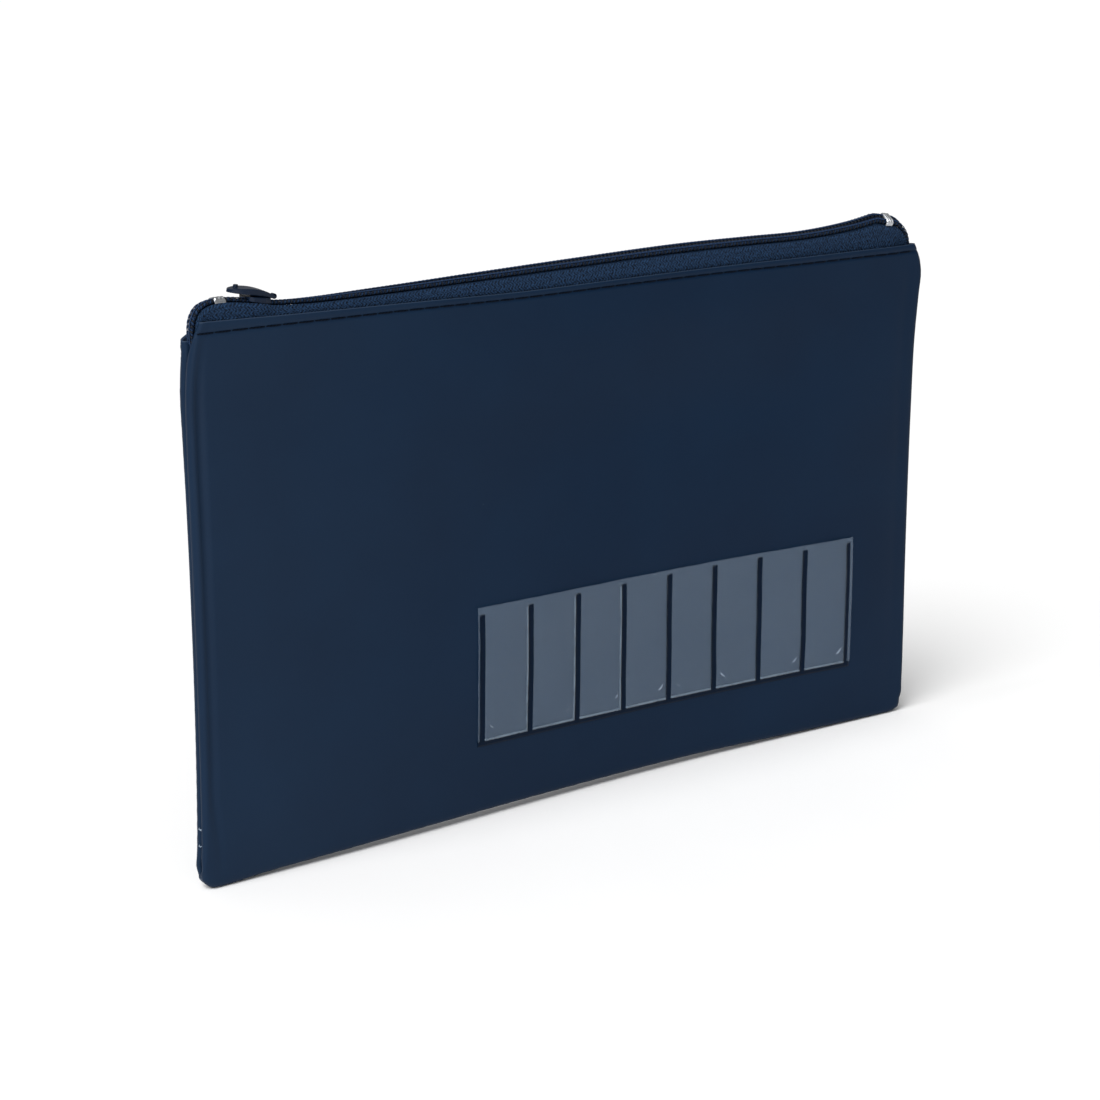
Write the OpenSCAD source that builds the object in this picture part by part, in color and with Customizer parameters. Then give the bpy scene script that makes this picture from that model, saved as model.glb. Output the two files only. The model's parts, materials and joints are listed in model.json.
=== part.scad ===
// Flat zipped pouch of coated fabric with a clear label window welded to its front.
// Millimetres. X runs along the zip, Y through the thickness with the front at -Y, and Z is up.
// The origin is under the middle of the pouch, on the surface that it stands on.

/* [Pouch] */
// Width over the side seams
bag_w = 230; // [190:1:280]
// Height from the bottom fold to the top edges of the panels
panel_h = 141; // [110:1:200]
// Thickness of the coated fabric
sheet_t = 0.7; // [0.4:0.1:0.9]
// Width of the seam allowance turned inside at each side
allowance_w = 6; // [4:0.5:10]
// Gap between the two allowances of a side seam
seam_gap = 0.1; // [0.05:0.05:0.2]

/* [Label window] */
// Width of the clear sheet
window_w = 127; // [80:1:140]
// Height of the clear sheet
window_h = 38.7; // [25:0.1:60]
// Thickness of the clear sheet
window_t = 0.3; // [0.2:0.1:0.6]
// Depth of a pocket between the clear sheet and the front panel
pocket_d = 0.5; // [0.3:0.1:0.8]
// Distance from the right side seam to the clear sheet
window_inset = 22; // [10:1:40]
// Height of the clear sheet's bottom edge
window_z = 19.2; // [12:0.1:40]
// Number of pockets side by side
pockets = 8; // [4:1:10]
// Width of a weld line
weld_w = 1; // [0.6:0.1:1.5]
// Height of the pocket's open lip above the weld lines
lip_h = 2; // [1:0.5:4]

/* [Zip chain] */
// Height of the chain above the panels' top edges
chain_rise = 3.4; // [3:0.1:8]
// Thickness of the woven tape
tape_t = 0.5; // [0.4:0.1:0.6]
// Depth that the tape is tucked behind the panel
tape_tuck = 8; // [6:0.5:12]
// Gap from the middle of the chain to a tape's inner edge
tape_split = 0.9; // [0.8:0.1:0.9]
// Spacing of the coil's turns
coil_pitch = 1.2; // [1:0.1:1.5]
// Height of the coil over the tape
coil_h = 1.3; // [1.2:0.1:1.7]
// Half width of the closed chain
chain_half = 1.9; // [1.9:0.1:2.2]
// Thickness of the thread that sews the coil down
coil_thread_t = 0.2; // [0.1:0.1:0.3]
// Width of the core cord inside the coil
core_w = 0.4; // [0.3:0.1:0.5]

/* [Zip ends] */
// Distance from the left side seam to where the chain turns down
left_turn_inset = 9.5; // [8:0.5:14]
// Radius under the tape where the chain turns down at the left
left_turn_r = 5; // [3:0.5:6]
// Distance from the right side seam to where the chain turns down
right_turn_inset = 5; // [5:0.5:14]
// Radius under the tape where the chain turns down at the right
right_turn_r = 2; // [1.5:0.5:3]
// Depth that a chain end goes into its side seam
end_tuck = 6; // [4:0.5:10]
// Length of a crimped stop along the chain
stop_l = 3.6; // [2.5:0.1:5]
// Thickness of a stop's metal
stop_t = 0.5; // [0.3:0.1:0.8]

/* [Slider] */
// Length of the slider body
slider_l = 10; // [9:0.5:12]
// Width of the slider's lower plate
base_w = 7; // [6.5:0.1:8]
// Thickness of each plate
plate_t = 0.6; // [0.5:0.1:0.9]
// Thickness of the side flanges
flange_t = 0.6; // [0.4:0.1:0.8]
// Half width of the wedge that parts the coils
wedge_half = 0.6; // [0.4:0.1:0.6]
// Clearance between the slider and the tapes
slider_clear = 0.3; // [0.2:0.05:0.4]
// Distance from the left stop to the slider when closed
rest_gap = 4.2; // [1:0.1:8]

/* [Pull] */
// Length of the pull from its cross bar to its tip
pull_l = 12.6; // [11:0.1:16]
// Width of the pull at its leaf
pull_w = 5; // [4.6:0.1:7]
// Thickness of the pull
pull_t = 0.9; // [0.7:0.1:1]
// Width of the bridge that holds the pull
bridge_w = 1.6; // [1.2:0.1:2]
// Thickness of the bridge
bridge_t = 0.7; // [0.5:0.1:0.9]
// Tilt of the pull at rest, in degrees
pull_tilt = 12; // [8:1:14]

/* [Thread] */
// Radius of the sewing thread
thread_r = 0.2; // [0.15:0.05:0.25]
// Stitch length
stitch_pitch = 4.5; // [3:0.1:6]
// Gap between two stitches where the thread dives through
stitch_gap = 0.9; // [0.6:0.1:1.5]
// Distance from the panels' top edge to the stitch line
hem_w = 2; // [1.5:0.1:4]
// Depth of coating over a hem stitch that is pulled into the panel
stitch_cover = 0.05; // [0:0.05:0.2]

/* [Hidden] */
$fn = 48;
FRONT = -1;
BACK = 1;
LEFT = -1;
RIGHT = 1;

// The mouth is as thick as the slider's lower plate, the tapes beside it and the panels over them.
wing_in = base_w / 2 + slider_clear;
wing_out = wing_in + tape_t;
bag_t = 2 * (wing_out + sheet_t);
roll_r = (bag_t - seam_gap) / 4;
roll_y = seam_gap / 2 + roll_r;
roll_x = bag_w / 2 - roll_r;
fold_r = bag_t / 2;

// Chain frame: z = 0 is the top of the tapes.
chain_z = panel_h + chain_rise;
left_turn_x = bag_w / 2 - left_turn_inset;
right_turn_x = bag_w / 2 - right_turn_inset;
chain_top = coil_h + coil_thread_t;
leg_bottom = -chain_rise - end_tuck;
turn_half = chain_half + 0.4;
left_stop_x = -left_turn_x + 0.7 + stop_l / 2;
right_stop_x = right_turn_x - stop_l / 2;

// Slider
slider_x = left_stop_x + stop_l / 2 + rest_gap + slider_l / 2;
wedge_l = 3.4;
wedge_x = slider_x - slider_l / 2 + 1.6 + wedge_l / 2;
part_max = wedge_half + 0.55;
lead_l = 6.5;
close_l = 4.2;
tooth_tip = -0.35;
tooth_root = 0.95;
tooth_w = coil_pitch / 2 - 0.1;
wide_half = chain_half + part_max + 0.15;
narrow_half = chain_half + 0.15;
plate_z = chain_top + 0.2;
bridge_l = 7.6;
bridge_x = 0.6;
bar_r = pull_t / 2 + 0.05;
bar_clear = 0.1;
bridge_open = 2 * (bar_r + bar_clear);
bar_z = plate_z + plate_t + bar_r + bar_clear;
bar_x = bridge_x + bridge_l / 2 - bridge_t - bar_r - bar_clear;
pull_window = 7;
pull_arm_in = bridge_w / 2 + 0.3;
pull_arm_out = pull_arm_in + 0.8;

// Side seams
seam_stitch_x = roll_x - 1;
seam_stitch_bottom = fold_r + 4;
notch_half = turn_half + 0.3;
notch_z = chain_z + leg_bottom - 0.5;

// How far each coil is pushed from the middle of the chain by the wedge at x.
function part_gap(x) =
    let(u = (x - wedge_x) / (x < wedge_x ? lead_l : close_l))
    abs(u) < 1 ? part_max * pow(cos(90 * u), 2) : 0;

function chain_samples() = concat(
    [-left_turn_x],
    [for (i = [0:18]) wedge_x - lead_l + (lead_l + close_l) * i / 18],
    [right_turn_x]
);

function reversed(list) = [for (i = [len(list) - 1:-1:0]) list[i]];

// A strip that follows the parted chain between two distances from its middle.
function strip_points(y0, y1) = concat(
    [for (x = chain_samples()) [x, y0 + part_gap(x)]],
    [for (x = reversed(chain_samples())) [x, y1 + part_gap(x)]]
);

// A coil from above: its turns reach past the middle, and its back is one smooth edge.
function coil_points(phase) =
    let(n = floor((right_turn_x + left_turn_x) / coil_pitch) - 1)
    concat(
        [[-left_turn_x, tooth_root]],
        [for (i = [0:n - 1])
            let(x = -left_turn_x + (i + 0.75 + phase) * coil_pitch, g = part_gap(x))
            for (p = [[-1, tooth_root], [-1, tooth_tip], [1, tooth_tip], [1, tooth_root]])
                [x + p[0] * tooth_w / 2, p[1] + g]],
        [[right_turn_x, tooth_root]],
        [for (x = reversed(chain_samples())) [x, chain_half + part_gap(x)]]
    );

module in_chain() {
    translate([0, 0, chain_z]) children();
}

module mirror_front(side) {
    mirror([0, side == FRONT ? 1 : 0, 0]) children();
}

// A section y0..y1 by z0..z1 of the chain, turned down over one end and run into the side seam.
module turned_end(end, y0, y1, z0, z1) {
    turn_x = end == LEFT ? left_turn_x : right_turn_x;
    turn_r = end == LEFT ? left_turn_r : right_turn_r;
    axis_z = -tape_t - turn_r;
    mirror([end == LEFT ? 1 : 0, 0, 0]) {
        translate([turn_x, 0, axis_z]) rotate([90, 0, 0]) rotate_extrude(angle = 90)
            translate([z0 - axis_z, -y1]) square([z1 - z0, y1 - y0]);
        translate([turn_x + z0 - axis_z, y0, leg_bottom])
            cube([z1 - z0, y1 - y0, axis_z - leg_bottom]);
    }
}

module turned_ends(y0, y1, z0, z1) {
    turned_end(LEFT, y0, y1, z0, z1);
    turned_end(RIGHT, y0, y1, z0, z1);
}

// One side roll with its allowance, seen from above, for the right end of the back panel.
module roll_profile() {
    difference() {
        translate([roll_x, roll_y]) circle(roll_r);
        translate([roll_x, roll_y]) circle(roll_r - sheet_t);
        translate([roll_x - 2 * roll_r, roll_y - roll_r - 1]) square([2 * roll_r, 2 * roll_r + 2]);
    }
    translate([roll_x - allowance_w, seam_gap / 2]) square([allowance_w, sheet_t]);
}

// The roll's closed lower end, where the seam meets the bottom fold.
module roll_end() {
    intersection() {
        translate([roll_x, roll_y, fold_r]) sphere(roll_r);
        cube([bag_w, bag_t, fold_r + 0.01]);
    }
}

module body_sheet() color("#1c2c45") {
    difference() {
        union() {
            for (m = [0, 1]) mirror([0, m, 0]) {
                translate([-roll_x, bag_t / 2 - sheet_t, fold_r])
                    cube([2 * roll_x, sheet_t, panel_h - fold_r]);
                for (n = [0, 1]) mirror([n, 0, 0]) {
                    translate([0, 0, fold_r]) linear_extrude(panel_h - fold_r) roll_profile();
                    roll_end();
                }
            }
            intersection() {
                translate([-roll_x, 0, fold_r]) rotate([0, 90, 0]) cylinder(r = fold_r, h = 2 * roll_x);
                translate([-bag_w, -bag_t, 0]) cube([2 * bag_w, 2 * bag_t, fold_r]);
            }
        }
        translate([-roll_x + sheet_t, 0, fold_r])
            rotate([0, 90, 0]) cylinder(r = fold_r - sheet_t, h = 2 * (roll_x - sheet_t));
        for (m = [0, 1]) mirror([m, 0, 0])
            translate([roll_x - allowance_w - 1, -notch_half, notch_z])
                cube([allowance_w + 2 * roll_r + 2, 2 * notch_half, panel_h]);
    }
}

module window_sheet() color("#8fa3b8", 0.4) {
    front_y = -bag_t / 2;
    window_x = bag_w / 2 - window_inset - window_w;
    pitch = (window_w - weld_w) / pockets;
    translate([window_x, front_y - pocket_d, window_z]) {
        translate([0, -window_t, 0]) cube([window_w, window_t, window_h]);
        cube([window_w, pocket_d, weld_w]);
        for (i = [0:pockets]) translate([i * pitch, 0, 0]) cube([weld_w, pocket_d, window_h - lip_h]);
    }
}

// A plate in the XZ plane whose two upper corners follow the chain's turns.
module wing() {
    left_r = left_turn_r + tape_t / 2;
    right_r = right_turn_r + tape_t / 2;
    top = -tape_t / 2;
    bottom = -chain_rise - tape_tuck;
    translate([-left_turn_x, wing_in, bottom]) cube([left_turn_x + right_turn_x, tape_t, top - bottom]);
    translate([-left_turn_x - left_r, wing_in, bottom]) cube([2 * left_r, tape_t, top - left_r - bottom]);
    translate([right_turn_x - right_r, wing_in, bottom]) cube([2 * right_r, tape_t, top - right_r - bottom]);
    translate([-left_turn_x, wing_in, top - left_r]) rotate([-90, 0, 0]) cylinder(r = left_r, h = tape_t);
    translate([right_turn_x, wing_in, top - right_r]) rotate([-90, 0, 0]) cylinder(r = right_r, h = tape_t);
}

module tape(side) color("#1f3252") {
    in_chain() mirror_front(side) {
        translate([-left_turn_x, tape_split, -tape_t])
            cube([left_turn_x + right_turn_x, wing_out - tape_split, tape_t]);
        turned_ends(tape_split, turn_half, -tape_t, 0);
        wing();
    }
}

module coil(side) color("#11161f") {
    core_in = core_start() - 0.05;
    core_out = core_start() + core_w + 0.05;
    core_low = coil_h / 2 - core_w / 2 - 0.05;
    core_high = coil_h / 2 + core_w / 2 + 0.05;
    in_chain() mirror_front(side) difference() {
        union() {
            linear_extrude(coil_h) polygon(coil_points(side == FRONT ? 0.5 : 0));
            turned_ends(0.05, chain_half, 0, coil_h);
        }
        translate([0, 0, core_low]) linear_extrude(core_high - core_low)
            polygon(strip_points(core_in, core_out));
        turned_ends(core_in, core_out, core_low, core_high);
    }
}

function core_start() = (tooth_root + chain_half - core_w) / 2;

module core_cord(side) color("#20262f") {
    in_chain() mirror_front(side) {
        translate([0, 0, (coil_h - core_w) / 2]) linear_extrude(core_w)
            polygon(strip_points(core_start(), core_start() + core_w));
        turned_ends(core_start(), core_start() + core_w, (coil_h - core_w) / 2, (coil_h + core_w) / 2);
    }
}

module coil_thread(side) color("#24395c") {
    thread_in = core_start() - 0.1;
    thread_out = core_start() + core_w + 0.1;
    in_chain() mirror_front(side) {
        translate([0, 0, coil_h]) linear_extrude(coil_thread_t) polygon(strip_points(thread_in, thread_out));
        turned_ends(thread_in, thread_out, coil_h, chain_top);
    }
}

// A crimped stop: a top plate over both coils, two prongs through the tapes and a plate below.
module stop(x) color("#c9ccce") {
    inner = chain_half + 0.05;
    outer = inner + stop_t;
    in_chain() translate([x - stop_l / 2, 0, 0]) {
        translate([0, -outer, chain_top]) cube([stop_l, 2 * outer, stop_t]);
        translate([0, -outer, -tape_t - stop_t]) cube([stop_l, 2 * outer, stop_t]);
        for (m = [0, 1]) mirror([0, m, 0]) translate([0, inner, -tape_t - stop_t])
            cube([stop_l, stop_t, chain_top + tape_t + 2 * stop_t]);
    }
}

// The slider from above: wide where the coils are parted, narrow where they leave it closed.
function slider_outline(wide, narrow) =
    let(e = slider_l / 2, half = [[-e, wide - 0.4], [-e + 0.8, wide], [0, wide], [3, narrow], [e, narrow]])
    concat(half, [for (p = reversed(half)) [p[0], -p[1]]]);

function slider_channel() =
    let(e = slider_l / 2 + 1, half = [[-e, wide_half], [0, wide_half], [3, narrow_half], [e, narrow_half]])
    concat(half, [for (p = reversed(half)) [p[0], -p[1]]]);

module slider_body() color("#1d2d48") {
    base_z = -tape_t - slider_clear - plate_t;
    wedge_at = wedge_x - slider_x;
    in_chain() translate([slider_x, 0, 0]) {
        translate([0, 0, plate_z]) linear_extrude(plate_t)
            polygon(slider_outline(wide_half + flange_t, narrow_half + flange_t));
        difference() {
            translate([0, 0, slider_clear]) linear_extrude(plate_z - slider_clear)
                polygon(slider_outline(wide_half + flange_t, narrow_half + flange_t));
            linear_extrude(plate_z + plate_t / 2) polygon(slider_channel());
        }
        translate([0, 0, base_z]) linear_extrude(plate_t)
            polygon(slider_outline(base_w / 2, narrow_half + flange_t));
        translate([wedge_at, 0, base_z]) linear_extrude(plate_z - base_z + plate_t / 2)
            polygon([[-wedge_l / 2, 0], [0, wedge_half], [wedge_l / 2, 0], [0, -wedge_half]]);
        translate([bridge_x, 0, plate_z + plate_t]) bridge();
    }
}

module bridge() {
    rise = bridge_open + bridge_t;
    translate([0, bridge_w / 2, 0]) rotate([90, 0, 0]) linear_extrude(bridge_w) difference() {
        polygon([
            [-bridge_l / 2, -plate_t / 2], [-bridge_l / 2, 0], [-bridge_l / 2 + 1, rise],
            [bridge_l / 2 - 0.4, rise], [bridge_l / 2, rise - 0.4], [bridge_l / 2, -plate_t / 2]
        ]);
        translate([-bridge_l / 2 + 1.5, 0]) square([bridge_l - 1.5 - bridge_t, bridge_open]);
    }
}

module slider_pull() color("#1d2d48") {
    tip_r = pull_w / 2;
    in_chain() translate([slider_x + bar_x, 0, bar_z]) rotate([0, pull_tilt, 0]) {
        rotate([90, 0, 0]) cylinder(r = bar_r, h = 2 * pull_arm_out, center = true);
        difference() {
            translate([0, 0, -pull_t / 2]) linear_extrude(pull_t) union() {
                polygon([
                    [0, pull_arm_out], [-pull_window, pull_arm_out + 0.3], [-pull_l + tip_r, tip_r],
                    [-pull_l + tip_r, -tip_r], [-pull_window, -pull_arm_out - 0.3], [0, -pull_arm_out]
                ]);
                translate([-pull_l + tip_r, 0]) circle(tip_r);
            }
            translate([-pull_window, -pull_arm_in, -pull_t])
                cube([pull_window + bar_r, 2 * pull_arm_in, 2 * pull_t]);
        }
        translate([-pull_l + tip_r, 0, 0]) cylinder(r = 0.7, h = pull_t / 2 + 0.5);
    }
}

// Stitches along X, centred on the origin.
module stitch_row(length) {
    n = floor(length / stitch_pitch);
    for (i = [0:n - 1]) translate([(i - (n - 1) / 2) * stitch_pitch, 0, 0]) rotate([0, 90, 0])
        cylinder(r = thread_r, h = stitch_pitch - stitch_gap, center = true);
}

module hem_thread(side, depth) color("#141b2b") {
    translate([(left_turn_inset - right_turn_inset) / 2, side * (bag_t / 2 - depth), panel_h - hem_w])
        stitch_row(left_turn_x + right_turn_x);
}

module seam_thread(end, side) color("#c4ccd6") {
    length = notch_z - seam_stitch_bottom;
    translate([end * seam_stitch_x, side * (seam_gap / 2 + sheet_t), seam_stitch_bottom + length / 2])
        rotate([0, 90, 0]) stitch_row(length);
}

body_sheet();
window_sheet();
tape(FRONT);  // front_tape
tape(BACK);  // back_tape
coil(FRONT);  // front_coil
coil(BACK);  // back_coil
core_cord(FRONT);  // front_core_cord
core_cord(BACK);  // back_core_cord
coil_thread(FRONT);  // front_coil_thread
coil_thread(BACK);  // back_coil_thread
stop(left_stop_x);  // left_stop
stop(right_stop_x);  // right_stop
slider_body();
slider_pull();
hem_thread(FRONT, thread_r + stitch_cover);  // front_hem_needle_thread
hem_thread(FRONT, sheet_t + tape_t);  // front_hem_bobbin_thread
hem_thread(BACK, thread_r + stitch_cover);  // back_hem_needle_thread
hem_thread(BACK, sheet_t + tape_t);  // back_hem_bobbin_thread
seam_thread(LEFT, FRONT);  // left_seam_needle_thread
seam_thread(LEFT, BACK);  // left_seam_bobbin_thread
seam_thread(RIGHT, FRONT);  // right_seam_needle_thread
seam_thread(RIGHT, BACK);  // right_seam_bobbin_thread
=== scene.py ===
"""A flat zipped pouch of navy coated fabric with a clear label window on its front.

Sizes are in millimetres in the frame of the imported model: X along the zip, the front at -Y, Z up.
"""
import json
import math

import bmesh
import bpy
import numpy as np
from mathutils import Matrix, Quaternion, Vector


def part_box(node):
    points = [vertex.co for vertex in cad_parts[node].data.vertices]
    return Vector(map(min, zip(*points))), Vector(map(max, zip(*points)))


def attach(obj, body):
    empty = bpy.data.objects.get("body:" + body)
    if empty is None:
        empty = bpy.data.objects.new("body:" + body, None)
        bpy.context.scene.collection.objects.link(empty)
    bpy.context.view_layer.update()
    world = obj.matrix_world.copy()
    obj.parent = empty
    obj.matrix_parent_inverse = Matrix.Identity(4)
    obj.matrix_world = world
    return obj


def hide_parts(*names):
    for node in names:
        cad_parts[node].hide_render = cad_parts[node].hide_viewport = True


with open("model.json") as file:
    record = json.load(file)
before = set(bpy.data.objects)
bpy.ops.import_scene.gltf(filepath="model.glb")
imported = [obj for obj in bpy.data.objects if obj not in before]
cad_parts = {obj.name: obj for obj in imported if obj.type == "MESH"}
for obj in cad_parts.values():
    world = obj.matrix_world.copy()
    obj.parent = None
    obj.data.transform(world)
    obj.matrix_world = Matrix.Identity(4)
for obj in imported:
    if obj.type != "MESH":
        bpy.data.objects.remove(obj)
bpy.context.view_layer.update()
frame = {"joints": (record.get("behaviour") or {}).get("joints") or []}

MM = 0.001
FRONT, BACK = -1, 1
LEFT, RIGHT = -1, 1


# ---------------------------------------------------------------- camera

def place_camera():
    """A long lens in front of the pouch, to its left and a little above it."""
    azimuth, elevation, roll = (math.radians(angle) for angle in (34.17, 15.94, -0.92))
    distance = 762.95
    aim = Vector((-9.0, 0, 69.65))
    forward = Vector((
        math.sin(azimuth) * math.cos(elevation),
        math.cos(azimuth) * math.cos(elevation),
        -math.sin(elevation),
    ))
    lens = bpy.data.cameras.new("camera")
    lens.lens = 94.3
    lens.sensor_width = 36
    lens.clip_start = 0.01
    camera = bpy.data.objects.new("camera", lens)
    bpy.context.scene.collection.objects.link(camera)
    camera.rotation_mode = "QUATERNION"
    camera.rotation_quaternion = forward.to_track_quat("-Z", "Y") @ Quaternion((0, 0, 1), roll)
    camera.location = (aim - forward * distance) * MM
    bpy.context.scene.camera = camera


place_camera()


# ---------------------------------------------------------------- smooth lines

def smooth(t):
    """Eases from 0 to 1 as t does."""
    t = np.clip(t, 0, 1)
    return t * t * (3 - 2 * t)


def eased(keys, at):
    """The value at a place on a smooth line through a few (place, value) keys."""
    places, values = np.array(keys, float).T
    slopes = np.gradient(values, places)
    i = np.clip(np.searchsorted(places, at) - 1, 0, len(places) - 2)
    span = places[i + 1] - places[i]
    t = np.clip((at - places[i]) / span, 0, 1)
    return (
        (1 + 2 * t) * (1 - t) ** 2 * values[i] + t * (1 - t) ** 2 * span * slopes[i]
        + t * t * (3 - 2 * t) * values[i + 1] + t * t * (t - 1) * span * slopes[i + 1]
    )


def line_through(points, per_mm=4):
    """Close points on a smooth line through a few points."""
    points = np.array(points, float)
    along = np.concatenate([[0], np.cumsum(np.linalg.norm(np.diff(points, axis=0), axis=1))])
    fine = np.linspace(0, along[-1], int(along[-1] * per_mm) + 2)
    return np.stack([eased(np.stack([along, c], 1), fine) for c in points.T], 1)


def lengths_of(line):
    return np.concatenate([[0], np.cumsum(np.linalg.norm(np.diff(line, axis=0), axis=1))])


def share_of(line, shares):
    """The points at given shares of a line's length."""
    along = lengths_of(line)
    return np.stack([np.interp(np.asarray(shares) * along[-1], along, c) for c in line.T], -1)


# ---------------------------------------------------------------- sizes from the frame

BAG_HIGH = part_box("body_sheet")[1] / MM
HALF_W = BAG_HIGH.x
PANEL_H = BAG_HIGH.z
WINDOW_LOW, WINDOW_HIGH = (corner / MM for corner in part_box("window_sheet"))
SLIDER_LOW, SLIDER_HIGH = (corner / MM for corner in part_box("slider_body"))
SLIDER_X = (SLIDER_LOW.x + SLIDER_HIGH.x) / 2
SEAM_LOW, SEAM_HIGH = (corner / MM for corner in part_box("left_seam_needle_thread"))
HINGE = next(joint for joint in frame["joints"] if joint["name"] == "pull_hinge")
CHAIN_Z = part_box("front_tape")[1].z / MM
HINGE_X, HINGE_Z = HINGE["pos_m"][0] / MM, HINGE["pos_m"][2] / MM

SHEET_T = 0.7       # coated fabric
TAPE_T = 0.5        # woven zip tape
EDGE_HALF = 2.3     # half the thickness at the side rolls
BELLY_HALF = 4.1    # half the thickness in the middle
FOLD_W = 2.4        # height over which the bottom fold closes
ALLOWANCE_W = 6     # seam allowance turned inside
SEAM_GAP = 0.06     # half the gap in the valley of a side seam
VALLEY_END_Z = 4.5  # where the side seam's valley ends over the bottom corner
STITCH = 4.5        # stitch length
THREAD_R = 0.2
SEAM_THREAD_R = THREAD_R * 0.55
HEM_START = 3.6     # first hem stitch from the left side
HEM_END = 4         # last one from the right side
POCKETS = 8
WELD_W = 1.25       # bar that welds the window's film
POCKET_PITCH = (WINDOW_HIGH.x - WINDOW_LOW.x - WELD_W) / POCKETS


# ---------------------------------------------------------------- the panels' shape

# The outline of a panel from the front, sewn a little out of square: x from its side, z from the ground.
LEFT_EDGE = [
    (-0.8, 1.2), (-1.8, 2.5), (-2.0, 4.2), (-1.6, 12), (-0.95, 30), (-0.5, 49),
    (-0.1, 80), (0.2, 115), (0.6, 128), (1.3, 134.5), (2.6, 139.5), (4.5, PANEL_H + 3.3),
]
LEFT_EDGE_BACK = LEFT_EDGE[:-2] + [(1.7, PANEL_H - 1.6)]
RIGHT_EDGE = [
    (-2.6, 0.9), (-2.1, 2.2), (-1.9, 4.2), (-1.5, 10), (-1.2, 21), (-0.8, 45), (-0.4, 64),
    (0.3, 90), (1.2, 112), (2.4, 124), (3.0, 130), (2.0, 134.5), (0.2, PANEL_H - 2.9),
]
BOTTOM_EDGE = [
    (-115.8, 1.2), (-114.6, 0.3), (-113.2, 0), (-110, 0), (-101, 0.5), (-80, 1.0), (-59, 1.3), (-28, 1.5),
    (5, 1.4), (39, 1.2), (75, 0.4), (98, 0.05), (106, 0), (110, 0.1), (112.4, 0.9),
]
TOP_EDGE = [
    (-110.6, 144.3), (-100, 144), (-82, 143.3), (-50, 142.1), (-21, 141), (15, 140.5),
    (52, 139.8), (75, 139.1), (94, 138.6), (108, 138.2), (115.2, 138.1),
]
TOP_EDGE_BACK = [(-113.3, 139.4), (-108, 142.4), (-100, 143.6)] + TOP_EDGE[2:]
# Half the width of the mouth along it, and how far below the edge the stitches run.
MOUTH_HALF = [(-111, 3.0), (-100, 3.8), (-60, 4.2), (20, 4.3), (80, 3.6), (104, 2.9), (116, 2.5)]
HEM_W = [(-111, 2.9), (-95, 2.5), (-60, 2.0), (116, 2.0)]
# How far the two rolls of a side seam part: they part again over the chain's ends and at the bottom.
VALLEY = [
    (0, SEAM_GAP), (4, 0.3), (6, 0.7), (8.5, 0.12), (11, SEAM_GAP), (131, SEAM_GAP), (136.5, 0.3), (141, 1.3),
    (146, 1.7),
]


def edge_x(side, height, panel):
    """Where a panel's side edge is at a height."""
    keys = RIGHT_EDGE if side == RIGHT else LEFT_EDGE_BACK if panel == BACK else LEFT_EDGE
    return side * HALF_W + eased([(z, x) for x, z in keys], height)


def top_z(x, panel):
    return eased(TOP_EDGE_BACK if panel == BACK else TOP_EDGE, x)


def waves(x, z, panel):
    """The slow waves of a soft sheet that has lain folded."""
    turn = 2.1 if panel == BACK else 0.4
    return (
        0.26 * np.sin(2 * np.pi * (0.9 * x + 0.55 * z) / 104 + turn)
        + 0.15 * np.sin(2 * np.pi * (0.4 * x - z) / 67 + 1.9 * turn)
        + 0.06 * np.sin(2 * np.pi * (x + 1.6 * z) / 39 + turn)
    )


def bow(x, z):
    """The empty pouch is dished a little below its mouth, to the right of its middle."""
    across = np.cos(np.clip((x - 30) / 115, -1, 1) * np.pi / 2) ** 2
    return (3.0 * across - 0.7) * smooth((132 - z) / 34)


def half_depth(x, z, panel):
    """How far a panel's face stands from the middle of the pouch."""
    left = np.maximum(x - edge_x(LEFT, z, panel), 0)
    right = np.maximum(edge_x(RIGHT, z, panel) - x, 0)
    low = np.maximum(z - eased(BOTTOM_EDGE, x), 0)
    drop = np.maximum(top_z(x, panel) - z, 0)
    near = np.minimum(left, right)
    # It fills out away from its sides and bottom, and turns into the mouth over its top 38 mm.
    belly = EDGE_HALF + (BELLY_HALF - EDGE_HALF) * (1 - np.exp(-near / 15)) * (1 - np.exp(-low / 20))
    toward_mouth = smooth(1 - drop / 38)
    depth = belly + (eased(MOUTH_HALF, x) - belly) * toward_mouth
    calm = smooth(near / 30) * smooth(low / 25) * smooth(drop / 20)
    depth = depth + waves(x, z, panel) * calm
    # The allowances inside the side seams press a furrow beside each roll.
    furrow_at = 2.7 + 2.0 * smooth((26 - z) / 20)
    furrow_keys = [(0, 0), (8, 0.25), (24, 0.75), (60, 0.9), (112, 1.1), (126, 0.9), (138, 0.25), (146, 0)]
    furrow = eased(furrow_keys, z)
    depth = depth - 0.8 * furrow * np.exp(-((left - furrow_at) / 0.9) ** 2)
    depth = depth - 0.1 * furrow * np.exp(-((right - 5.5) / 1.8) ** 2)
    # The hem: a lip that flares, and a line drawn in by the stitches.
    hem_w = eased(HEM_W, x)
    stitch = 0.75 + 0.25 * np.cos(2 * np.pi * (x + HALF_W - HEM_START) / STITCH)
    line = np.exp(-((drop - hem_w) / 0.38) ** 2)
    band = np.sin(np.pi * np.clip(drop / hem_w, 0, 1))
    return depth + 0.12 * np.exp(-drop / 0.9) + 0.16 * band - 0.42 * stitch * line


def spaced(steps, first, last, pitch):
    """Fine steps from an edge, then even ones from first to last."""
    return np.concatenate([steps, np.linspace(first, last, int((last - first) / pitch) + 1)])


def closing(width, count):
    """Steps from an edge that turn over as a quarter circle does."""
    return width * (1 - np.sin(np.linspace(math.pi / 2, 0, count)))


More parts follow.
